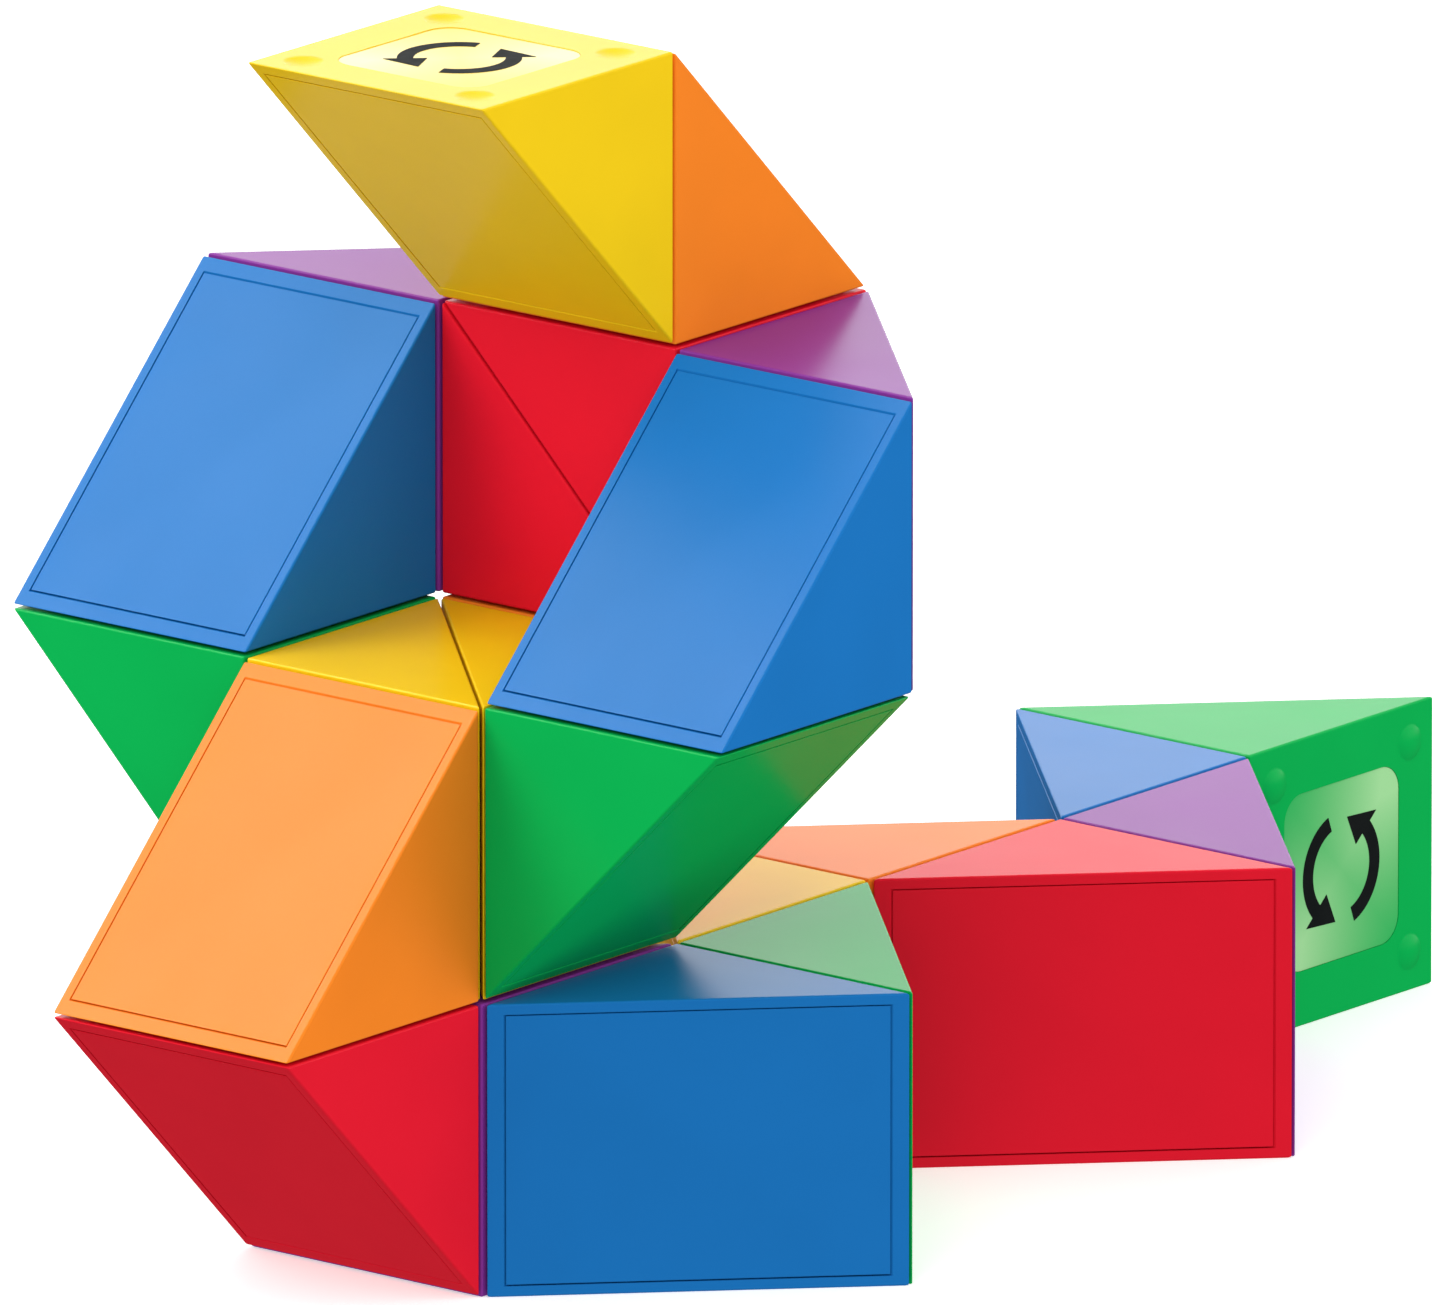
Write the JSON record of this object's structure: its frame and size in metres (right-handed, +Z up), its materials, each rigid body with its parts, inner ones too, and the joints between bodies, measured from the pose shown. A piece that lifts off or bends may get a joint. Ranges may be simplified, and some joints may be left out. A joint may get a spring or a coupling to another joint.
{
  "type": "snake puzzle",
  "caption": "Twisty snake puzzle folded into a standing figure: hollow plastic wedges joined face to face by turning pivots, in six repeating colours.",
  "frame": {"origin": "on the ground, under the middle of the folded snake's box", "axes": "+Z up; +Y along the flat zigzag tail, away from the upright figure; +X to the right seen from the figure's front, which looks along +Y"},
  "size_m": [0.0726, 0.1448, 0.0969],
  "materials": {
    "green": "moulded, satin gloss",
    "blue": "moulded, satin gloss",
    "purple": "moulded, satin gloss",
    "red": "moulded, satin gloss",
    "orange": "moulded, satin gloss",
    "yellow": "moulded, satin gloss",
    "badge": "clear domed resin over a plain pictogram of two turning arrows"
  },
  "bodies": {
    "segment_01": {"segment_01_body": "green", "segment_01_cover": "green", "segment_01_badge": "badge"},
    "segment_02": {"segment_02_body": "blue", "segment_02_cover": "blue"},
    "segment_03": {"segment_03_body": "purple", "segment_03_cover": "purple"},
    "segment_04": {"segment_04_body": "red", "segment_04_cover": "red"},
    "segment_05": {"segment_05_body": "orange", "segment_05_cover": "orange"},
    "segment_06": {"segment_06_body": "yellow", "segment_06_cover": "yellow"},
    "segment_07": {"segment_07_body": "green", "segment_07_cover": "green"},
    "segment_08": {"segment_08_body": "blue", "segment_08_cover": "blue"},
    "segment_09": {"segment_09_body": "purple", "segment_09_cover": "purple"},
    "segment_10": {"segment_10_body": "red", "segment_10_cover": "red"},
    "segment_11": {"segment_11_body": "orange", "segment_11_cover": "orange"},
    "segment_12": {"segment_12_body": "yellow", "segment_12_cover": "yellow"},
    "segment_13": {"segment_13_body": "green", "segment_13_cover": "green"},
    "segment_14": {"segment_14_body": "blue", "segment_14_cover": "blue"},
    "segment_15": {"segment_15_body": "purple", "segment_15_cover": "purple"},
    "segment_16": {"segment_16_body": "red", "segment_16_cover": "red"},
    "segment_17": {"segment_17_body": "orange", "segment_17_cover": "orange"},
    "segment_18": {"segment_18_body": "yellow", "segment_18_cover": "yellow"},
    "segment_19": {"segment_19_body": "green", "segment_19_cover": "green"},
    "segment_20": {"segment_20_body": "blue", "segment_20_cover": "blue"},
    "segment_21": {"segment_21_body": "purple", "segment_21_cover": "purple"},
    "segment_22": {"segment_22_body": "red", "segment_22_cover": "red"},
    "segment_23": {"segment_23_body": "orange", "segment_23_cover": "orange"},
    "segment_24": {"segment_24_body": "yellow", "segment_24_cover": "yellow", "segment_24_badge": "badge"}
  },
  "joints": [
    {"name": "twist_01", "type": "hinge", "parent": "segment_02", "child": "segment_01", "pos_m": [0, 0.0486, 0.012], "axis": [0, 1, 0], "continuous": true},
    {"name": "twist_02", "type": "hinge", "parent": "segment_03", "child": "segment_02", "pos_m": [0.01215, 0.03645, 0.012], "axis": [-1, 0, 0], "range_deg": [-2.25, 2.25]},
    {"name": "twist_03", "type": "hinge", "parent": "segment_04", "child": "segment_03", "pos_m": [0.0243, 0.0243, 0.012], "axis": [0, 1, 0], "continuous": true},
    {"name": "twist_04", "type": "hinge", "parent": "segment_05", "child": "segment_04", "pos_m": [0.01215, 0.01215, 0.012], "axis": [1, 0, 0], "range_deg": [-2.25, 2.25]},
    {"name": "twist_05", "type": "hinge", "parent": "segment_06", "child": "segment_05", "pos_m": [0, 0, 0.012], "axis": [0, -1, 0], "continuous": true},
    {"name": "twist_06", "type": "hinge", "parent": "segment_07", "child": "segment_06", "pos_m": [0.01215, -0.01215, 0.012], "axis": [-1, 0, 0], "range_deg": [-2.25, 2.25]},
    {"name": "twist_07", "type": "hinge", "parent": "segment_08", "child": "segment_07", "pos_m": [0.0243, -0.0243, 0.012], "axis": [0, 1, 0], "continuous": true},
    {"name": "twist_08", "type": "hinge", "parent": "segment_09", "child": "segment_08", "pos_m": [0.01215, -0.03645, 0.012], "axis": [1, 0, 0], "range_deg": [-1.75, 1.75]},
    {"name": "twist_09", "type": "hinge", "parent": "segment_09", "child": "segment_10", "pos_m": [0, -0.0486, 0.012], "axis": [0, -1, 0], "range_deg": [-1, 1]},
    {"name": "twist_10", "type": "hinge", "parent": "segment_10", "child": "segment_11", "pos_m": [0, -0.06075, 0.02415], "axis": [0, 0, 1], "continuous": true},
    {"name": "twist_11", "type": "hinge", "parent": "segment_11", "child": "segment_12", "pos_m": [0, -0.0486, 0.0363], "axis": [0, 1, 0], "range_deg": [-1, 1]},
    {"name": "twist_12", "type": "hinge", "parent": "segment_12", "child": "segment_13", "pos_m": [-0.01215, -0.03645, 0.0363], "axis": [1, 0, 0], "range_deg": [-1, 1]},
    {"name": "twist_13", "type": "hinge", "parent": "segment_13", "child": "segment_14", "pos_m": [-0.0243, -0.03645, 0.04845], "axis": [0, 0, -1], "range_deg": [-230, 0]},
    {"name": "twist_14", "type": "hinge", "parent": "segment_14", "child": "segment_15", "pos_m": [-0.0243, -0.0243, 0.0606], "axis": [0, -1, 0], "range_deg": [0, 190]},
    {"name": "twist_15", "type": "hinge", "parent": "segment_15", "child": "segment_16", "pos_m": [-0.01215, -0.01215, 0.0606], "axis": [1, 0, 0], "range_deg": [-0.2, 0.2]},
    {"name": "twist_16", "type": "hinge", "parent": "segment_16", "child": "segment_17", "pos_m": [0, -0.01215, 0.04845], "axis": [0, 0, -1], "range_deg": [-1, 0]},
    {"name": "twist_17", "type": "hinge", "parent": "segment_17", "child": "segment_18", "pos_m": [0, -0.0243, 0.0363], "axis": [0, -1, 0], "range_deg": [-1, 0]},
    {"name": "twist_18", "type": "hinge", "parent": "segment_18", "child": "segment_19", "pos_m": [0.01215, -0.03645, 0.0363], "axis": [1, 0, 0], "range_deg": [0, 1.5]},
    {"name": "twist_19", "type": "hinge", "parent": "segment_19", "child": "segment_20", "pos_m": [0.0243, -0.03645, 0.04845], "axis": [0, 0, 1], "range_deg": [-270, 0]},
    {"name": "twist_20", "type": "hinge", "parent": "segment_20", "child": "segment_21", "pos_m": [0.0243, -0.0243, 0.0606], "axis": [0, 1, 0], "range_deg": [0, 180]},
    {"name": "twist_21", "type": "hinge", "parent": "segment_21", "child": "segment_22", "pos_m": [0.01215, -0.01215, 0.0606], "axis": [-1, 0, 0], "range_deg": [-1, 1]},
    {"name": "twist_22", "type": "hinge", "parent": "segment_22", "child": "segment_23", "pos_m": [0, -0.01215, 0.07275], "axis": [0, 0, 1], "continuous": true},
    {"name": "twist_23", "type": "hinge", "parent": "segment_23", "child": "segment_24", "pos_m": [0, -0.0243, 0.0849], "axis": [0, -1, 0], "continuous": true}
  ]
}
